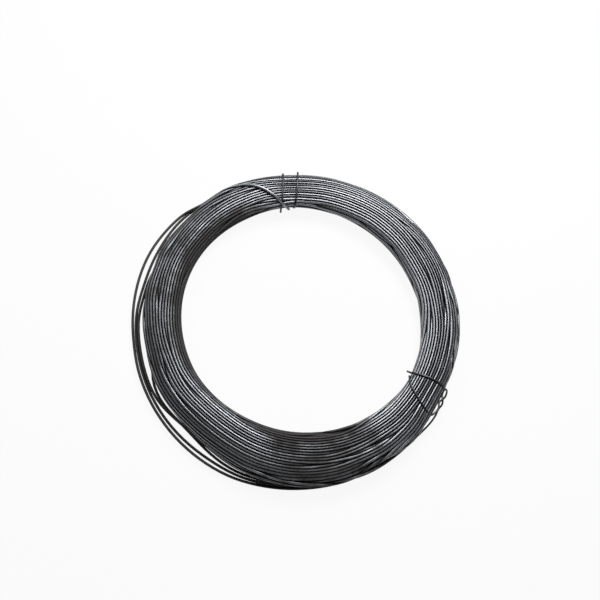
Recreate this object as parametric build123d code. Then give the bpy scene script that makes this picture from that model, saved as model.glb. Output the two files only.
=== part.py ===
from build123d import *
import os
from math import copysign, cos, degrees, hypot, radians, sin
from numpy import interp

# A hand-tied coil of plain steel wire lying flat on the floor, in millimetres.
# The origin is on the coil's axis, in the plane that it rests on. +Z is up.

# Stock and bundle
wire_diameter = 2.5
bore_diameter = 220.0
bundle_width = 35.0
bundle_height = 22.0
outline_power = 2.2         # 2 is an oval section, more is boxier
former_flat = 1.2           # how much of the oval's inner side the winding former pressed flat
outline_turns = 28          # turns around the section, a multiple of four
groove_share = 0.5          # depth of the groove between two turns, of a wire's diameter
crest_share = 0.4           # flat crest of the turn that bears on the floor, of a wire's diameter
clearance = 0.3

# Tie wires: where each one is, and how far apart its two wraps lie at the bore and outside
tie_diameter = 1.8
tie_slack = 0.2             # room for the straight runs of a wrap around the rounded bundle
wrap_bends = 24
wrap_start_angle = 150.0    # around the section: 0 is outward, 90 is up, 180 is the bore
wrap_stop_angle = 45.0
rear_tie_angle = 97.0
rear_tie_bore_gap = 11.0
rear_tie_outer_gap = 12.5
rear_tie_slant = 7.5        # how much further along the coil a wrap lies at the bore than outside
tip_rise = 3.0              # how far the rear tie's cut end stands off the bundle
front_tie_angle = -31.0
front_tie_bore_gap = 7.0
front_tie_outer_gap = 22.0
front_tie_slant = 4.0
curl_radius = 3.2           # hitch in the front tie's end, along the coil
curl_spread = 16.0          # the same, in degrees around the section
curl_bends = 9
tail_length = 27.0          # end of the front tie, sprung out along the outside of the coil
tail_angle = -25.0
tail_rise = 5.0             # how far the tail's end stands off the bundle
tail_bends = 4
waist_margin = 6.0          # squeezed bundle beyond the outer wraps, along the coil
waist_lift = 1.0            # the tie beneath lifts the squeezed bundle

# Strands that have sprung loose around the outside, and the wire's own outer end
loose_angles = (222.0, 218.0, 227.0)
loose_spans = (170.0, 150.0, 90.0)
loose_swings = (17.0, 11.4, 4.0)    # how far each stands off at its loosest
loose_height_shares = (0.18, 0.3, 0.42)
loose_bends = 14
end_angles = (121.0, 102.0)
end_across_shares = (0.8, -0.3)

rod_sides = 6
wire_radius = wire_diameter / 2
tie_radius = tie_diameter / 2
mid_radius = (bore_diameter + bundle_width) / 2
mid_height = bundle_height / 2
tie_inset = clearance + tie_radius
waist_inset = tie_diameter + tie_slack + 2 * clearance


def oval(angle, inset=0.0):
    """Point of the bundle's section, from its middle, drawn in by inset."""
    across, up = cos(radians(angle)), sin(radians(angle))
    half_width = bundle_width / 2 - inset + (former_flat if across < 0 else 0)
    half_height = bundle_height / 2 - inset
    x = copysign(half_width * abs(across) ** (2 / outline_power), across)
    z = copysign(half_height * abs(up) ** (2 / outline_power), up)
    return max(x, inset - bundle_width / 2), z


def even_angles(count):
    """Section angles that divide each quarter of the outline into equal lengths."""
    angles = []
    for quarter in range(4):
        steps = [90 * quarter + step / 2 for step in range(181)]
        points = [oval(angle) for angle in steps]
        walked = [0.0]
        for (x0, z0), (x1, z1) in zip(points, points[1:]):
            walked.append(walked[-1] + hypot(x1 - x0, z1 - z0))
        goals = [walked[-1] * part / (count // 4) for part in range(count // 4)]
        angles += [float(angle) for angle in interp(goals, walked, steps)]
    return angles


def bundle_section(inset=0.0, lift=0.0):
    """Section of the bundle: a ridge for each turn, and a plain wall where the former was."""
    groove = groove_share * wire_diameter
    half_crest = crest_share * wire_diameter / 2
    points = []
    for i, angle in enumerate(even_angles(2 * outline_turns)):
        groove_here = i % 2 == 1
        on_former = oval(angle)[0] == -bundle_width / 2
        if on_former and (groove_here or angle == 180):
            continue
        x, z = oval(angle, inset + groove if groove_here else inset)
        if angle == 270:
            points += [(x - half_crest, z), (x + half_crest, z)]
        else:
            points.append((x, z))
    places = [(mid_radius + x, mid_height + lift + z) for x, z in points]
    return Plane.XZ * make_face(Polyline(*places, close=True))


def turned(section, start, stop):
    """The section turned about the coil's axis, between two angles in degrees."""
    return Rot(0, 0, start) * revolve(section, Axis.Z, stop - start)


def rod(points, radius):
    """Straight runs of a many-sided rod, mitred where they meet."""
    points = [Vector(*point) for point in points]
    runs = [(b - a).normalized() for a, b in zip(points, points[1:])]
    end = Plane(points[0], z_dir=runs[0])
    turns = [radians(360 * side / rod_sides) for side in range(rod_sides)]
    ring = [end.from_local_coords(Vector(radius * cos(t), radius * sin(t), 0)) for t in turns]
    faces = [Face(Wire.make_polygon(ring))]
    for run, following, corner in zip(runs, runs[1:] + runs[-1:], points[1:]):
        mitre = run + following
        onward = [p + run * ((corner - p).dot(mitre) / run.dot(mitre)) for p in ring]
        for k in range(rod_sides):
            faces.append(Face(Wire.make_polygon([ring[k - 1], ring[k], onward[k], onward[k - 1]])))
        ring = onward
    faces.append(Face(Wire.make_polygon(ring)))
    return Solid(Shell(faces))


def on_bundle(coil_angle, along, section_angle, inset):
    """Point for a tie near the bundle's surface, some way along the coil from an angle on it."""
    x, z = oval(section_angle, inset)
    turn = radians(coil_angle) + along / mid_radius
    return (mid_radius + x) * cos(turn), (mid_radius + x) * sin(turn), mid_height + waist_lift + z


def wrap(coil_angle, bore_gap, outer_gap, slant):
    """One and a half wraps of a tie: over the top, back underneath and over the top again."""
    step = 360 / wrap_bends
    bends = round((wrap_start_angle - wrap_stop_angle + 360) / step)
    places = []
    for bend in range(bends + 1):
        angle = wrap_start_angle - step * bend
        outward = (oval(angle)[0] + bundle_width / 2) / bundle_width
        over, back = (bore_gap + (outer_gap - bore_gap) * outward) / 2, outer_gap * outward / 2
        if angle > 0:
            along = over
        elif angle > -180:
            along = back - bore_gap * (1 - outward) / 2
        else:
            along = -over
        places.append(on_bundle(coil_angle, along + slant * (1 / 2 - outward), angle, tie_inset))
    return places


def waist_half_angle(outer_gap, slant):
    return degrees(((outer_gap + slant) / 2 + waist_margin) / mid_radius)


def make_rear_tie():
    route = wrap(rear_tie_angle, rear_tie_bore_gap, rear_tie_outer_gap, rear_tie_slant)
    tip_angle = wrap_stop_angle - 360 / wrap_bends
    tip_along = -(rear_tie_outer_gap + rear_tie_slant) / 2
    route.append(on_bundle(rear_tie_angle, tip_along, tip_angle, -tip_rise))
    return rod(route, tie_radius)


def make_front_tie():
    """The front tie ends in a hitch over its own wrap, and its tail springs out along the coil."""
    route = wrap(front_tie_angle, front_tie_bore_gap, front_tie_outer_gap, front_tie_slant)
    start = -(front_tie_outer_gap + front_tie_slant) / 2
    for bend in range(1, curl_bends + 1):
        turn = radians(180 - 270 * bend / curl_bends)
        along = start + curl_radius * (1 + cos(turn))
        angle = wrap_stop_angle - curl_spread * sin(turn)
        inset = tie_inset - 2 * tie_inset * bend / curl_bends
        route.append(on_bundle(front_tie_angle, along, angle, inset))
    for bend in range(1, tail_bends + 1):
        share = bend / tail_bends
        along = start + curl_radius - (tail_length + curl_radius) * share
        angle = wrap_stop_angle + curl_spread + (tail_angle - wrap_stop_angle - curl_spread) * share
        inset = -tie_inset - (tail_rise - tie_inset) * share
        route.append(on_bundle(front_tie_angle, along, angle, inset))
    return rod(route, tie_radius)


def make_wire_end():
    """The wire's outer end, rising out of the bundle's shoulder and lying across its top."""
    top = bundle_height + clearance + wire_radius
    route = []
    for coil_angle, share, height in zip(end_angles, end_across_shares, (mid_height + wire_radius, top)):
        radius = mid_radius + share * bundle_width / 2
        route.append((radius * cos(radians(coil_angle)), radius * sin(radians(coil_angle)), height))
    return rod(route, wire_radius)


def make_loose_strand(coil_angle, span, swing, height_share):
    """A stretch of an outer turn that comes out of the bundle, stands off it and goes back in."""
    height = height_share * bundle_height
    lean = abs(height - mid_height) / mid_height
    reach = mid_radius + bundle_width / 2 * (1 - lean ** outline_power) ** (1 / outline_power)
    bury = wire_radius + groove_share * wire_diameter + clearance
    route = []
    for bend in range(loose_bends + 1):
        share = 2 * bend / loose_bends - 1
        angle = radians(coil_angle + share * span / 2)
        radius = reach - bury + (bury + swing + wire_radius) * cos(radians(90 * share))
        route.append((radius * cos(angle), radius * sin(angle), height))
    return rod(route, wire_radius)


def make_coil():
    """The wound bundle, squeezed to a waist at each tie, with its loose strands and outer end."""
    rear_half = waist_half_angle(rear_tie_outer_gap, rear_tie_slant)
    front_half = waist_half_angle(front_tie_outer_gap, front_tie_slant)
    rear_start, rear_stop = rear_tie_angle - rear_half, rear_tie_angle + rear_half
    front_start, front_stop = front_tie_angle - front_half, front_tie_angle + front_half
    full, waist = bundle_section(), bundle_section(waist_inset, waist_lift)
    coil = turned(full, front_stop, rear_start) + turned(full, rear_stop, front_start + 360)
    coil += turned(waist, rear_start, rear_stop) + turned(waist, front_start, front_stop)
    coil += make_wire_end()
    for strand in zip(loose_angles, loose_spans, loose_swings, loose_height_shares):
        coil += make_loose_strand(*strand)
    return coil


os.makedirs("parts", exist_ok=True)
export_step(make_coil(), "parts/wire_coil.step")
export_step(make_rear_tie(), "parts/tie_rear.step")
export_step(make_front_tie(), "parts/tie_front.step")
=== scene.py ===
from math import copysign, cos, radians, sin

import bmesh
import bpy
import numpy as np
from mathutils import Matrix, Vector


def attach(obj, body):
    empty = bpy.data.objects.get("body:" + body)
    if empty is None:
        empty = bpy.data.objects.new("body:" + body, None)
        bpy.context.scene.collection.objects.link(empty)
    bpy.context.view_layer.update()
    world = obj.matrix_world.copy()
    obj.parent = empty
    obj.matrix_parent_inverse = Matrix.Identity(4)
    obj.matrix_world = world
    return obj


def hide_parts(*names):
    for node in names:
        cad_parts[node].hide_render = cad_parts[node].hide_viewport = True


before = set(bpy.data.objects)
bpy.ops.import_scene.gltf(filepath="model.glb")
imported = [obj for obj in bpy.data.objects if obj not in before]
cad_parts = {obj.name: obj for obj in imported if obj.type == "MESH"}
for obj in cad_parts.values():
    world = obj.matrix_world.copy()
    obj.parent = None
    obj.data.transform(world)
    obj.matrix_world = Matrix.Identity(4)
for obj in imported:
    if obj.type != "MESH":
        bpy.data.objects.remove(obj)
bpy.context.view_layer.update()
scene = bpy.context.scene
scene.view_settings.view_transform = "Standard"
mm = 0.001
print("frame loaded:", sorted(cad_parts))


# camera at the photograph's angle, turned so that +Y is up the picture
photoView = {
    "azimuth": -23.0,
    "elevation": 68.0,
    "distance": 0.95,
    "target": (-0.004, 0.016, 0.011),
    "fieldWidth": 0.549,        # metres across the frame at the target
}


def addCamera(view):
    turn, rise = radians(view["azimuth"]), radians(view["elevation"])
    back = Vector((sin(turn) * cos(rise), -cos(turn) * cos(rise), sin(rise)))
    right = Vector((0, 1, 0)).cross(back).normalized()
    up = back.cross(right)
    lens = bpy.data.cameras.new("photoCamera")
    lens.lens = lens.sensor_width * view["distance"] / view["fieldWidth"]
    lens.clip_start = 0.01
    camera = bpy.data.objects.new("photoCamera", lens)
    place = Vector(view["target"]) + back * view["distance"]
    camera.matrix_world = Matrix.Translation(place) @ Matrix((right, up, back)).transposed().to_4x4()
    scene.collection.objects.link(camera)
    scene.camera = camera


addCamera(photoView)
print("camera placed")


# shader maths: a wrapped socket takes + - * / and one method adds any other node
class Flow:
    def __init__(self, tree, socket=None):
        self.tree = tree
        self.socket = socket

    def add(self, kind, settings, inputs, output=0):
        node = self.tree.nodes.new(kind)
        for name, value in settings.items():
            setattr(node, name, value)
        for name, value in inputs.items():
            if isinstance(value, Flow):
                self.tree.links.new(value.socket, node.inputs[name])
            else:
                node.inputs[name].default_value = value
        return Flow(self.tree, node.outputs[output] if node.outputs else None)

    def maths(self, operation, first, second):
        return self.add("ShaderNodeMath", {"operation": operation}, {0: first, 1: second})

    def __add__(self, other):
        return self.maths("ADD", self, other)

    def __radd__(self, other):
        return self.maths("ADD", other, self)

    def __sub__(self, other):
        return self.maths("SUBTRACT", self, other)

    def __rsub__(self, other):
        return self.maths("SUBTRACT", other, self)

    def __mul__(self, other):
        return self.maths("MULTIPLY", self, other)

    def __rmul__(self, other):
        return self.maths("MULTIPLY", other, self)

    def __truediv__(self, other):
        return self.maths("DIVIDE", self, other)

    def clamped(self):
        return self.add("ShaderNodeClamp", {}, {"Value": self})

    def between(self, low, high):
        settings = {"interpolation_type": "SMOOTHSTEP"}
        return self.add("ShaderNodeMapRange", settings, {"Value": self, "From Min": low, "From Max": high})

    def blended(self, first, second):
        inputs = {"Factor": self, 6: first, 7: second}      # a Mix node's two colours
        return self.add("ShaderNodeMix", {"data_type": "RGBA"}, inputs, output=2)


def newMaterial(name):
    material = bpy.data.materials.new(name)
    material.use_nodes = True
    material.node_tree.nodes.clear()
    return material, Flow(material.node_tree)


# drawn steel: tone changes along the wire, fine drawing streaks, dirt and oxide with painted shade low down,
# painted shade on two sides, at the bore and between the turns
steelFinish = {
    "dark": (0.12, 0.126, 0.14, 1),
    "light": (0.54, 0.56, 0.59, 1),
    "toneLength": 0.45,         # metres of wire over which the tone changes
    "toneRange": (0.25, 0.75),
    "toneShare": 0.75,          # the streaks give the rest of the shade
    "streakScale": (3.0, 3.0, 25.0),    # across the wire, twice, and along it
    "roughness": 0.44,
    "roughnessSpread": 0.08,
    # dark brown of oxide and dirt, laid on low down together with painted shade, and as painted shade on two
    # sides and at the bore
    "oxideAndShade": (0.028, 0.022, 0.019, 1),
    "lowDirtShadeTop": 0.015,           # height at which the dirt and painted shade begin, metres
    "lowDirtShadeFull": 0.004,
    "dirtShadeWeight": 0.85,         # against the patches that break it up
    "patchScale": 70.0,
    "dirtShadeRange": (0.2, 0.8),
    "dirtShadeCover": 0.9,
    "dirtShadeRoughness": 0.22,      # added where the dirt and painted shade lie
    "dirtShadeDullness": 0.6,        # taken from the metal there
    "sideShade": (                  # painted shade on two sides of the coil, the near side and the left: which way, begins, full, how much
        ((0.13, -0.991, 0.0), 0.8, 0.98, 0.65),
        ((-0.96, 0.28, 0.0), 0.3, 0.9, 0.52),
    ),
    # painted shade on the bore wall, strongest towards the near left: which way, begins, full, how much
    "boreShade": ((-0.94, -0.342, 0.0), -0.3, 0.5, 0.75),
    "boreWall": (0.11, 0.127),  # distances from the origin over which the bore's painted shade fades, metres
    "betweenTurnShade": (0.012, 0.011, 0.011, 1),    # painted shade, nearly black, between the turns and inside the bundle
    # depths inside the bundle and gaps to the next turn over which the painted shade between the turns comes
    # in
    "buriedRange": (0.12, 0.42),
    "grooveRange": (0.08, 0.55),
}


def makeSteel(name, finish):
    material, flow = newMaterial(name)
    drawn = flow.add("ShaderNodeAttribute", {"attribute_name": "drawn"}, {}, output="Vector")
    along = flow.add("ShaderNodeSeparateXYZ", {}, {0: drawn}, output="Z")
    body = flow.add("ShaderNodeTexCoord", {}, {}, output="Object")
    height = flow.add("ShaderNodeSeparateXYZ", {}, {0: body}, output="Z")

    # shade of the bare wire
    toneNoise = {"W": along / finish["toneLength"], "Scale": 1.0, "Detail": 3.0, "Roughness": 0.6}
    tone = flow.add("ShaderNodeTexNoise", {"noise_dimensions": "1D"}, toneNoise)
    stretch = {0: drawn, 1: finish["streakScale"]}
    stretched = flow.add("ShaderNodeVectorMath", {"operation": "MULTIPLY"}, stretch)
    streak = flow.add("ShaderNodeTexNoise", {}, {"Vector": stretched, "Scale": 1.0, "Detail": 2.0})
    toneShare = finish["toneShare"]
    shade = (tone.between(*finish["toneRange"]) * toneShare + streak * (1 - toneShare)).clamped()

    # dirt and painted shade low down, and painted shade on two sides and at the bore
    outward = flow.add("ShaderNodeVectorMath", {"operation": "NORMALIZE"}, {0: body})
    distance = flow.add("ShaderNodeVectorMath", {"operation": "LENGTH"}, {0: body}, output="Value")

    # painted shade towards one side of the coil
    def shadeTowards(way, begin, full, amount):
        facing = {0: outward, 1: way}
        side = flow.add("ShaderNodeVectorMath", {"operation": "DOT_PRODUCT"}, facing, output="Value")
        return side.between(begin, full) * amount

    dirtShadeSum = 1 - height.between(finish["lowDirtShadeFull"], finish["lowDirtShadeTop"])
    for sideShade in finish["sideShade"]:
        dirtShadeSum = dirtShadeSum + shadeTowards(*sideShade)
    atBore = 1 - distance.between(*finish["boreWall"])
    dirtShadeSum = dirtShadeSum + shadeTowards(*finish["boreShade"]) * atBore
    patchNoise = {"Vector": body, "Scale": finish["patchScale"], "Detail": 5.0, "Roughness": 0.65}
    patch = flow.add("ShaderNodeTexNoise", {}, patchNoise)
    dirtShadeMask = (dirtShadeSum * finish["dirtShadeWeight"] + (patch - 0.5)).between(*finish["dirtShadeRange"]) * finish["dirtShadeCover"]

    # painted shade between the turns and deep in the bundle
    buried = flow.add("ShaderNodeAttribute", {"attribute_name": "buried"}, {}, output="Fac")
    groove = flow.add("ShaderNodeAttribute", {"attribute_name": "groove"}, {}, output="Fac")
    inBundle = buried.between(*finish["buriedRange"])
    inGroove = groove.between(*finish["grooveRange"])
    shadedBetweenTurns = flow.maths("MAXIMUM", inBundle, inGroove)

    clean = dirtShadeMask.blended(shade.blended(finish["dark"], finish["light"]), finish["oxideAndShade"])
    uneven = (tone - 0.5) * finish["roughnessSpread"]
    surface = {
        "Base Color": shadedBetweenTurns.blended(clean, finish["betweenTurnShade"]),
        "Metallic": 1 - dirtShadeMask * finish["dirtShadeDullness"],
        "Roughness": (finish["roughness"] + uneven + dirtShadeMask * finish["dirtShadeRoughness"]).clamped(),
    }
    shader = flow.add("ShaderNodeBsdfPrincipled", {}, surface)
    flow.add("ShaderNodeOutputMaterial", {}, {"Surface": shader})
    return material


# the bundle's section at angles around the coil, in millimetres: bore side, outside, underside, top,
# and how boxy its outside is
bundle = {
    "stops": (
        (0, 109.2, 147.0, 0.0, 22.0, 2.1),
        (40, 108.4, 147.4, 0.0, 22.0, 2.1),
        (70, 108.8, 145.0, 1.0, 21.5, 2.1),
        (97, 109.8, 142.0, 3.6, 20.4, 2.1),
        (120, 108.4, 144.8, 1.0, 21.5, 2.1),
        (128, 108.9, 144.4, 0.5, 21.8, 2.1),
        (137, 109.4, 141.8, 0.0, 22.0, 2.1),
        (146, 109.9, 142.0, 0.0, 22.0, 2.1),
        (156, 110.4, 145.4, 0.0, 22.0, 2.1),
        (198, 112.0, 146.4, 0.0, 22.0, 2.1),
        (212, 112.4, 150.0, 0.0, 22.0, 1.9),
        (228, 111.0, 147.4, 0.0, 22.0, 2.0),
        (242, 109.0, 150.6, 0.0, 22.0, 1.8),
        (256, 108.0, 157.5, 0.0, 22.0, 1.7),
        (278, 107.2, 156.5, 0.0, 22.0, 1.7),
        (302, 107.0, 150.8, 0.5, 22.0, 1.9),
        (316, 108.6, 148.8, 2.0, 21.4, 2.0),
        (323, 109.6, 144.2, 3.2, 20.6, 2.1),
        (329, 110.4, 143.2, 3.6, 20.4, 2.1),
        (350, 109.0, 146.0, 1.0, 21.5, 2.1),
    ),
    "borePower": 2.2,           # the former left the bore side flatter than the outside
    "smoothing": 4.0,           # degrees
}


def bundleLimits(angles):
    stops = np.array(bundle["stops"])
    fine = np.arange(0.0, 360.0, 1.0)
    reach = np.exp(-0.5 * (np.minimum(fine, 360 - fine) / bundle["smoothing"]) ** 2)
    reach /= reach.sum()
    limits = []
    for column in stops.T[1:]:
        raw = np.interp(fine, stops[:, 0], column, period=360)
        smooth = np.fft.ifft(np.fft.fft(raw) * np.fft.fft(reach)).real
        limits.append(np.interp(angles % 360, fine, smooth, period=360))
    return limits


# one wire wound turn upon turn, in millimetres: it is laid, then settled until its turns lie side by side
winding = {
    "turns": 75,
    "stations": 72,             # points for each turn
    "diameter": 2.5,
    "startAngle": 98.0,         # where the outer end is
    "turnsAcross": 12.0,        # turns in one pass across the bundle
    "spill": 1.06,              # how far the passes go, of the bundle's half width
    "evenness": 4.0,            # more fills the bundle's two sides better
    "wander": 0.12,             # share of the bundle's width
    "wanderStations": 16.0,
    "shiver": 0.03,
    "shiverStations": 3.0,
    "sides": 16,
    "smoothness": 2,            # rings for each point
    "grooveReach": 1.4,         # gap to the next turn at which the painted shade of its groove begins
    "footFrom": 240.0,          # loose stretches lie along the bundle's foot from here on
    "seed": 92,
}
# how the wire settles in each round; a fade is full until one share of the rounds and gone at the other
settling = {
    "rounds": 420,
    "divisions": 4,             # contact is tested at each point and at places on the way to the next
    "hold": 0.05,               # each turn is drawn to where it was laid
    "holdFade": (0, 2 / 3),
    "looseHold": 0.3,           # and a loose stretch to its own line
    "push": 0.42,               # two turns that overlap push each other apart
    "spread": 0.008,            # all turns are pushed out from the bundle's middle
    "spreadFade": (0.35, 0.85),
    "lift": 0.3,                # how far below the middle they are pushed up from, of the half height
    "stiffness": 0.3,
    "stiffnessFade": (0, 5 / 6),
    "leastStiffness": 0.05,     # share of the stiffness that is left at the end
}
# turns that have sprung loose, counted from the outer end: the height at which each lies, and its radius
# at angles along it
looseTurns = {
    0: (3.4, (
        (133, 147.8), (142, 150.0), (150, 151.5), (159, 153.3), (167, 153.6), (180, 154.2), (192, 154.9),
        (200, 156.8), (212, 158.4), (223, 159.5), (231, 160.0), (242, 160.1), (249, 159.6), (256, 158.0),
        (264, 156.4), (271, 154.8), (279, 153.3), (287, 151.4), (295, 149.2), (302, 147.4), (310, 146.4),
        (318, 145.0),
    )),
    1: (4.4, (
        (126, 142.5), (131, 144.6), (136, 146.0), (142, 146.8), (150, 146.6), (159, 146.9), (168, 147.4),
        (174, 148.6), (178, 150.2), (182, 151.4), (192, 152.5), (200, 153.9), (208, 155.0), (216, 155.8),
        (223, 156.2), (231, 156.2), (238, 156.0), (245, 156.4), (249, 156.8), (253, 156.3), (260, 155.0),
        (264, 154.1), (271, 152.5), (279, 151.0), (287, 149.1), (295, 146.9), (302, 145.1),
    )),
    2: (3.0, (
        (198, 142.2), (204, 147.2), (209, 150.0), (214, 150.2), (219, 148.8), (224, 147.5), (229, 147.8),
        (234, 149.6), (239, 151.6), (244, 153.0), (249, 153.8), (256, 153.0), (264, 151.6), (271, 150.0),
        (279, 148.5), (287, 146.6), (295, 144.4),
    )),
    3: (5.4, (
        (168, 142.1), (172, 144.8), (178, 147.2), (184, 149.6), (194, 150.5), (200, 151.5), (207, 153.0),
        (213, 152.8), (217, 151.2), (221, 149.2), (226, 147.5), (231, 147.0), (236, 147.8), (242, 149.8),
        (249, 151.6), (256, 151.0), (264, 149.6), (271, 148.0), (279, 146.5), (287, 144.6),
    )),
}
# the outer end comes out of the side, crosses the top and dips into the bore: angle, radius, height
outerEnd = (
    (98, 106.3, 13.0), (103, 116.6, 22.0), (108, 128.0, 23.0), (113, 135.8, 22.0), (118, 140.6, 18.0),
    (123, 143.0, 13.0),
)


def smoothNoise(rng, count, spread):
    span = np.arange(-int(4 * spread), int(4 * spread) + 1)
    kernel = np.exp(-0.5 * (span / spread) ** 2)
    noise = np.convolve(rng.standard_normal(count), kernel, mode="same")
    return noise / noise.std()


def wanderAcross(rng, count):
    # place across the section all along the wire, -1 at the bore and 1 outside, with even filling
    sweep = np.arange(count) / winding["stations"] / winding["turnsAcross"]
    share = np.abs((sweep % 2.0) - 1.0)
    share = share + winding["wander"] * smoothNoise(rng, count, winding["wanderStations"])
    share = share + winding["shiver"] * smoothNoise(rng, count, winding["shiverStations"])
    share = np.abs((share + 1.0) % 2.0 - 1.0)
    across = np.linspace(-1.0, 1.0, 401)
    area = np.cumsum((1 - np.abs(across) ** winding["evenness"]) ** (1 / winding["evenness"]))
    return np.interp(share, area / area[-1], across)


def roomForWire(around):
    # the bundle's section, drawn in to where the middle of the wire can be
    inset = winding["diameter"] / 2
    inner, outer, low, top, outerPower = bundleLimits(around)
    inner, outer = inner + inset, outer - inset
    low, top = low + inset, top - inset
    return {
        "outer": outer,
        "low": low,
        "outerPower": outerPower,
        "middle": (inner + outer) / 2,
        "halfWidth": (outer - inner) / 2,
        "centre": (low + top) / 2,
        "halfHeight": (top - low) / 2,
    }


def looseStretches(around, target, outer):
    # gives the loose stretches their radii, and returns where the wire is loose and how high it lies there
    loose, looseHeight = np.zeros(around.shape), np.zeros(around.shape)
    for turn, (height, line) in looseTurns.items():
        angles, radii = np.array(line).T
        here = around[turn] % 360
        inLine = (here > angles[0]) & (here < angles[-1])
        target[turn] = np.where(inLine, np.interp(here, angles, radii), target[turn])
        clear = (target[turn] > outer[turn] - winding["diameter"] / 2) | (here > winding["footFrom"])
        loose[turn] = inLine & clear
        looseHeight[turn] = height
    angles, radii, heights = np.array(outerEnd).T
    atEnd = around[0] <= angles[-1]
    target[0] = np.where(atEnd, np.interp(around[0], angles, radii), target[0])
    looseHeight[0] = np.where(atEnd, np.interp(around[0], angles, heights), looseHeight[0])
    loose[0] = np.where(atEnd, 1, loose[0])
    return loose, looseHeight


def pileUp(target, room):
    # heights of the turns, laid one upon another in the hollow of the section's underside
    diameter, low, halfHeight = winding["diameter"], room["low"], room["halfHeight"]
    lean = np.clip(np.abs((target - room["middle"]) / room["halfWidth"]), 0, 0.995)
    power = np.where(target > room["middle"], room["outerPower"], bundle["borePower"])
    trough = room["centre"] - halfHeight * (1 - lean ** power) ** (1 / power)
    height = np.zeros(target.shape)
    for turn in reversed(range(len(target))):
        level = trough[turn]
        if turn + 1 < len(target):
            aside = target[turn] - target[turn + 1:]
            over = height[turn + 1:] + np.sqrt(np.clip(diameter ** 2 - aside ** 2, 0, None))
            level = np.maximum(level, np.where(np.abs(aside) < diameter, over, 0).max(axis=0))
        # the wire is stiff, so it bridges hollows
        for _ in range(3):
            padded = np.pad(level, 2, mode="edge")
            soft = (padded[:-4] + 2 * padded[1:-3] + 3 * padded[2:-2] + 2 * padded[3:-1] + padded[4:]) / 9
            level = np.maximum(level, soft)
        height[turn] = level
    pile = height.max(axis=0) - low[0]
    return low + (height - low) * 2 * halfHeight[0] / pile


def partWay(line, share):
    # places some share of the way from each point of the wire to the next
    flat = line.reshape(-1)
    onward = np.append(flat[1:], flat[-1])
    return (flat * (1 - share) + onward * share).reshape(line.shape)


def fading(late, fullUntil, goneAt):
    return min(max((goneAt - late) / (goneAt - fullUntil), 0), 1)


def settle(radius, height, target, loose, looseHeight, room):
    # turns push each other apart, the wire's stiffness smooths it and the section holds it
    diameter, middle, centre = winding["diameter"], room["middle"], room["centre"]
    itself = np.eye(len(radius), dtype=bool)[:, :, None]
    for step in range(settling["rounds"]):
        late = step / settling["rounds"]
        between = step % settling["divisions"] / settling["divisions"]
        hold = settling["hold"] * fading(late, *settling["holdFade"])
        spread = settling["spread"] * fading(late, *settling["spreadFade"])
        stiffShare = max(fading(late, *settling["stiffnessFade"]), settling["leastStiffness"])

        radius += np.where(loose > 0, settling["looseHold"], hold) * (target - radius)
        height += settling["looseHold"] * loose * (looseHeight - height)
        midRadius, midHeight = partWay(radius, between), partWay(height, between)
        aside = midRadius[:, None, :] - midRadius[None, :, :]
        above = midHeight[:, None, :] - midHeight[None, :, :]
        apart = np.sqrt(aside ** 2 + above ** 2) + 1e-6
        short = np.where(itself, 0, np.clip(diameter - apart, 0, None))
        push = short / apart * settling["push"] / (between ** 2 + (1 - between) ** 2)
        for line, moves in ((radius, (aside * push).sum(axis=1)), (height, (above * push).sum(axis=1))):
            flat, moves = line.reshape(-1), moves.reshape(-1)
            flat += (1 - between) * moves
            flat[1:] += between * moves[:-1]
        radius += spread * (radius - middle)
        height += spread * (height - centre + settling["lift"] * room["halfHeight"])
        for line in (radius, height):
            flat = line.reshape(-1)
            flat[1:-1] += settling["stiffness"] * ((flat[:-2] + flat[2:]) / 2 - flat[1:-1]) * stiffShare

        power = np.where(radius > middle, room["outerPower"], bundle["borePower"])
        level = (np.abs(radius - middle) / room["halfWidth"]) ** power
        level = level + (np.abs(height - centre) / room["halfHeight"]) ** power
        inside = np.where(loose > 0, 1, 1 / np.maximum(level, 1) ** (1 / power))
        radius = middle + (radius - middle) * inside
        height = np.maximum(centre + (height - centre) * inside, room["low"])
    print("wire settled, deepest overlap %.2f mm, mean %.3f" % (short.max(), short.sum() / radius.size))
    depth = np.clip(1 - level ** (1 / power), 0, 1)
    return radius.reshape(-1), height.reshape(-1), depth.reshape(-1)


def layWire():
    # radius, height and depth below the bundle's surface, at each point along the wire
    turns, stations = winding["turns"], winding["stations"]
    rng = np.random.default_rng(winding["seed"])
    count = turns * stations
    around = (winding["startAngle"] + 360.0 * np.arange(count) / stations).reshape(turns, stations)
    room = roomForWire(around)
    across = wanderAcross(rng, count).reshape(turns, stations)
    target = room["middle"] + winding["spill"] * room["halfWidth"] * across
    loose, looseHeight = looseStretches(around, target, room["outer"])
    height = pileUp(target, room)
    return settle(target.copy(), height, target, loose, looseHeight, room)


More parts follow.
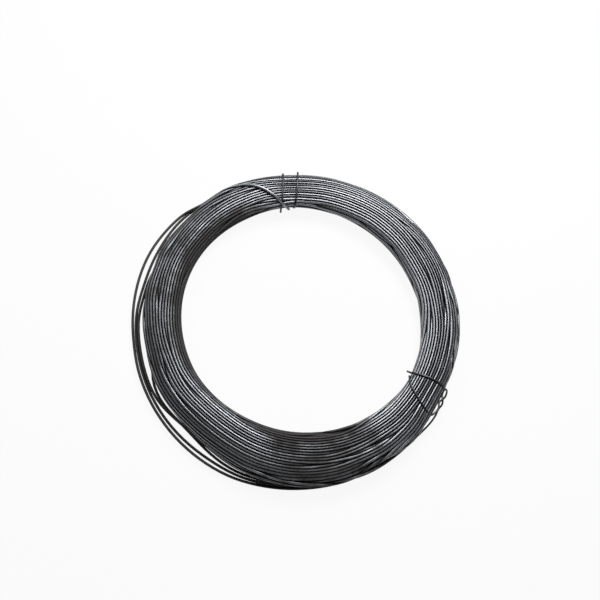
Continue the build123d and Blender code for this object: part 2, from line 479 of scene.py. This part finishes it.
def tubeAlong(name, points, wire, depth=(0, 0)):
    # a round tube on a smooth line near the points, with its length and its round kept for the finish
    sides = wire["sides"]
    curve = bpy.data.curves.new(name, "CURVE")
    curve.dimensions = "3D"
    curve.bevel_depth = wire["diameter"] * mm / 2
    curve.bevel_resolution = (sides - 4) // 2       # 0 gives four sides
    curve.resolution_u = wire["smoothness"]
    spline = curve.splines.new("NURBS")
    spline.points.add(len(points) - 1)
    spline.points.foreach_set("co", np.hstack([points, np.ones((len(points), 1))]).ravel())
    spline.order_u = 4
    spline.use_endpoint_u = True
    pattern = bpy.data.objects.new(name, curve)
    mesh = bpy.data.meshes.new_from_object(pattern)
    bpy.data.objects.remove(pattern)
    bpy.data.curves.remove(curve)
    mesh.name = name
    places = np.zeros(len(mesh.vertices) * 3)
    mesh.vertices.foreach_get("co", places)
    rings = places.reshape(-1, sides, 3)
    middles = rings.mean(axis=1)
    along = np.concatenate([[0], np.cumsum(np.linalg.norm(np.diff(middles, axis=0), axis=1))])
    side = 2 * np.pi * np.arange(sides) / sides
    drawn = np.zeros(rings.shape)
    drawn[..., 0] = np.cos(side)
    drawn[..., 1] = np.sin(side)
    drawn[..., 2] = along[:, None]
    mesh.attributes.new("drawn", "FLOAT_VECTOR", "POINT").data.foreach_set("vector", drawn.ravel())
    buried = np.interp(np.linspace(0, 1, len(rings)), np.linspace(0, 1, len(depth)), depth)
    mesh.attributes.new("buried", "FLOAT", "POINT").data.foreach_set("value", np.repeat(buried, sides))
    shape = bmesh.new()
    shape.from_mesh(mesh)
    bmesh.ops.holes_fill(shape, edges=[edge for edge in shape.edges if edge.is_boundary], sides=sides)
    bmesh.ops.recalc_face_normals(shape, faces=shape.faces)
    for face in shape.faces:
        face.smooth = len(face.verts) == 4
    shape.to_mesh(mesh)
    shape.free()
    piece = bpy.data.objects.new(name, mesh)
    scene.collection.objects.link(piece)
    return piece


def markGrooves(piece, part, radii, heights):
    # how near the next turn is to each spot of a part of the wire, 1 where the two touch; it places the
    # painted shade between the turns
    stations, turns = winding["stations"], winding["turns"]
    spots = np.zeros(len(piece.data.vertices) * 3)
    piece.data.vertices.foreach_get("co", spots)
    x, y, z = spots.reshape(-1, 3).T / mm
    station = (np.degrees(np.arctan2(y, x)) - winding["startAngle"]) % 360 / 360 * stations
    before = station.astype(int)
    share = (station - before)[:, None]
    near = before[:, None] + stations * np.arange(turns)[None, :]
    after = np.minimum(near + 1, turns * stations - 1)
    aside = radii[near] * (1 - share) + radii[after] * share - np.hypot(x, y)[:, None]
    above = heights[near] * (1 - share) + heights[after] * share - z[:, None]
    gap = np.hypot(aside, above) - winding["diameter"] / 2
    reached = part.start + (part.stop - part.start - 1) * np.arange(len(x)) / len(x)
    ownTurn = np.clip(np.round((reached - station) / stations), 0, turns - 1).astype(int)
    gap[np.arange(len(x)), ownTurn] = winding["grooveReach"]    # a turn isn't its own neighbour
    groove = 1 - np.clip(gap.min(axis=1) / winding["grooveReach"], 0, 1)
    piece.data.attributes.new("groove", "FLOAT", "POINT").data.foreach_set("value", groove)


coilSteel = makeSteel("drawnSteel", steelFinish)
wireRadius, wireHeight, wireDepth = layWire()
wireTurn = radians(winding["startAngle"]) + 2 * np.pi * np.arange(len(wireRadius)) / winding["stations"]
wireX, wireY = wireRadius * np.cos(wireTurn), wireRadius * np.sin(wireTurn)
wirePoints = np.stack([wireX, wireY, wireHeight], axis=1) * mm
half = len(wirePoints) // 2
for name, part in (("outer_turns", slice(0, half + 1)), ("inner_turns", slice(half, len(wirePoints)))):
    turnsPiece = tubeAlong(name, wirePoints[part], winding, wireDepth[part])
    markGrooves(turnsPiece, part, wireRadius, wireHeight)
    turnsPiece.data.materials.clear()
    turnsPiece.data.materials.append(coilSteel)
    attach(turnsPiece, "root")
    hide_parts("wire_coil")
    print(name, len(turnsPiece.data.polygons), "faces")


# dull annealed wire of the ties
tieFinish = dict(
    steelFinish,
    dark=(0.05, 0.05, 0.052, 1),
    light=(0.13, 0.13, 0.135, 1),
    toneLength=0.03,
    roughness=0.42,
    # dirt and painted shade only at the very bottom of the ties
    lowDirtShadeTop=0.004,
    lowDirtShadeFull=0.0,
)
# each tie goes over the bundle, back underneath and over again, then on to its end, in millimetres;
# over and again are its places along the coil, from the bore to the outside;
# start and finish are points of it: along the coil, radius, height
tieWires = {
    "tie_rear": {
        "angle": 97.0,
        "start": ((11.4, 105.8, 9.5), (11.0, 107.9, 12.0)),
        "over": (10.0, 9.6, 8.3, 6.5, 4.8, 3.1),
        "again": (-4.8, -5.1, -6.0, -7.1, -8.3, -9.4),
        "finish": ((-9.1, 142.2, 16.4), (-9.1, 142.8, 17.6)),
    },
    "tie_front": {
        "angle": -31.0,
        "start": ((5.5, 104.4, 20.0), (5.9, 109.0, 20.6)),
        "over": (7.6, 8.6, 9.5, 10.5, 10.8, 10.2),
        "again": (6.0, -1.6, -8.0, -12.6, -15.6, -16.0),
        "finish": (
            (-15.2, 144.4, 14.6), (-12.2, 145.6, 13.2), (-8.6, 146.4, 12.8), (-5.3, 146.4, 13.1),
            (-3.5, 144.9, 12.8), (-1.6, 144.1, 12.0), (0.3, 144.4, 11.2), (2.2, 145.5, 10.9),
            (3.9, 146.4, 11.2), (5.6, 146.6, 12.0), (7.4, 146.4, 12.6), (9.6, 146.0, 12.6),
            (11.7, 144.8, 11.6), (11.4, 143.6, 10.4), (9.0, 143.0, 10.6), (5.6, 143.3, 12.0),
            (3.9, 144.0, 12.8), (2.2, 145.5, 13.1), (0.3, 146.8, 12.8), (-1.6, 147.5, 12.0),
            (-3.5, 147.3, 11.3), (-5.3, 146.8, 10.9), (-7.6, 147.0, 10.7), (-11.9, 148.2, 10.4),
            (-19.8, 148.4, 9.0), (-26.4, 147.8, 7.0), (-34.0, 147.8, 5.6), (-41.2, 147.4, 4.8),
        ),
    },
}
tieShape = {
    "diameter": 1.8,
    "sides": 10,
    "smoothness": 6,
    "middle": 126.3,            # the squeezed bundle's section
    "halfWidth": 17.2,
    "centre": 12.0,
    "halfHeight": 9.3,
    "power": 2.2,
    "wrapFrom": 150,            # degrees around the section, where 0 is outward and 90 is up
    "wrapTo": -330,
    "step": 15,
    "shares": (0.0, 0.06, 0.25, 0.5, 0.75, 1.0),    # of the way out, for the places over and again
}


def besideBundle(sectionAngle):
    across, up = cos(radians(sectionAngle)), sin(radians(sectionAngle))
    aside = copysign(tieShape["halfWidth"] * abs(across) ** (2 / tieShape["power"]), across)
    lift = copysign(tieShape["halfHeight"] * abs(up) ** (2 / tieShape["power"]), up)
    return tieShape["middle"] + aside, tieShape["centre"] + lift


def tieRoute(tie):
    route = list(tie["start"])
    for sectionAngle in range(tieShape["wrapFrom"], tieShape["wrapTo"] - 1, -tieShape["step"]):
        radius, height = besideBundle(sectionAngle)
        outward = (radius - tieShape["middle"]) / tieShape["halfWidth"] / 2 + 0.5
        places = tie["over"] if sectionAngle > 0 else tie["again"]
        along = np.interp(outward, tieShape["shares"], places)
        if -180 < sectionAngle <= 0:    # underneath
            along = tie["again"][0] + (tie["over"][-1] - tie["again"][0]) * outward
        route.append((along, radius, height))
    points = []
    for along, radius, height in route + list(tie["finish"]):
        turn = radians(tie["angle"]) + along / tieShape["middle"]
        points.append((radius * cos(turn) * mm, radius * sin(turn) * mm, height * mm))
    return np.array(points)


tieSteel = makeSteel("annealedSteel", tieFinish)
for node, tie in tieWires.items():
    points = tieRoute(tie)
    tiePiece = tubeAlong(node + "_wire", points, tieShape)
    tiePiece.data.materials.clear()
    tiePiece.data.materials.append(tieSteel)
    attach(tiePiece, "root")
    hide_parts(node)
    print(node, "bent from", len(points), "points")


# white floor for the camera and for reflections, pale and lit for everything else
studio = {
    "floorSize": 3.0,
    "floorColour": (0.9, 0.9, 0.9, 1),
    "glow": 0.92,               # how much of the floor is plain white there
    "worldLevel": 0.1,          # light from all around; to the camera it is white
    "lights": (                 # place, diameter, power; each one faces the origin
        ("softBox", (0.19, 0.56, 0.64), 0.4, 6.0),
        ("sideLight", (-0.72, 0.56, 0.77), 0.5, 3.0),
        ("topLight", (0.18, 0.3, 0.67), 0.35, 0.6),
    ),
}


def buildFloor():
    shape = bmesh.new()
    bmesh.ops.create_grid(shape, x_segments=1, y_segments=1, size=studio["floorSize"])
    mesh = bpy.data.meshes.new("floor")
    shape.to_mesh(mesh)
    shape.free()
    floor = bpy.data.objects.new("floor", mesh)
    scene.collection.objects.link(floor)
    material, flow = newMaterial("paleFloor")
    camera = flow.add("ShaderNodeLightPath", {}, {}, output="Is Camera Ray")
    glossy = flow.add("ShaderNodeLightPath", {}, {}, output="Is Glossy Ray")
    through = flow.add("ShaderNodeLightPath", {}, {}, output="Is Transmission Ray")
    seen = (camera + glossy + through).clamped()
    matt = flow.add("ShaderNodeBsdfDiffuse", {}, {"Color": studio["floorColour"]})
    glow = flow.add("ShaderNodeEmission", {}, {"Color": (1, 1, 1, 1), "Strength": 1.0})
    mixed = flow.add("ShaderNodeMixShader", {}, {0: seen * studio["glow"], 1: matt, 2: glow})
    flow.add("ShaderNodeOutputMaterial", {}, {"Surface": mixed})
    mesh.materials.append(material)


def lightStudio():
    world = bpy.data.worlds.new("studioWorld")
    scene.world = world
    world.use_nodes = True
    world.node_tree.nodes.clear()
    flow = Flow(world.node_tree)
    camera = flow.add("ShaderNodeLightPath", {}, {}, output="Is Camera Ray")
    strength = camera * (1 - studio["worldLevel"]) + studio["worldLevel"]
    sky = flow.add("ShaderNodeBackground", {}, {"Color": (1, 1, 1, 1), "Strength": strength})
    flow.add("ShaderNodeOutputWorld", {}, {"Surface": sky})
    for name, place, size, power in studio["lights"]:
        lamp = bpy.data.lights.new(name, "AREA")
        lamp.shape = "DISK"
        lamp.size = size
        lamp.energy = power
        light = bpy.data.objects.new(name, lamp)
        light.location = place
        light.rotation_euler = Vector(place).to_track_quat("Z", "Y").to_euler()
        scene.collection.objects.link(light)


buildFloor()
lightStudio()
print("studio lit")
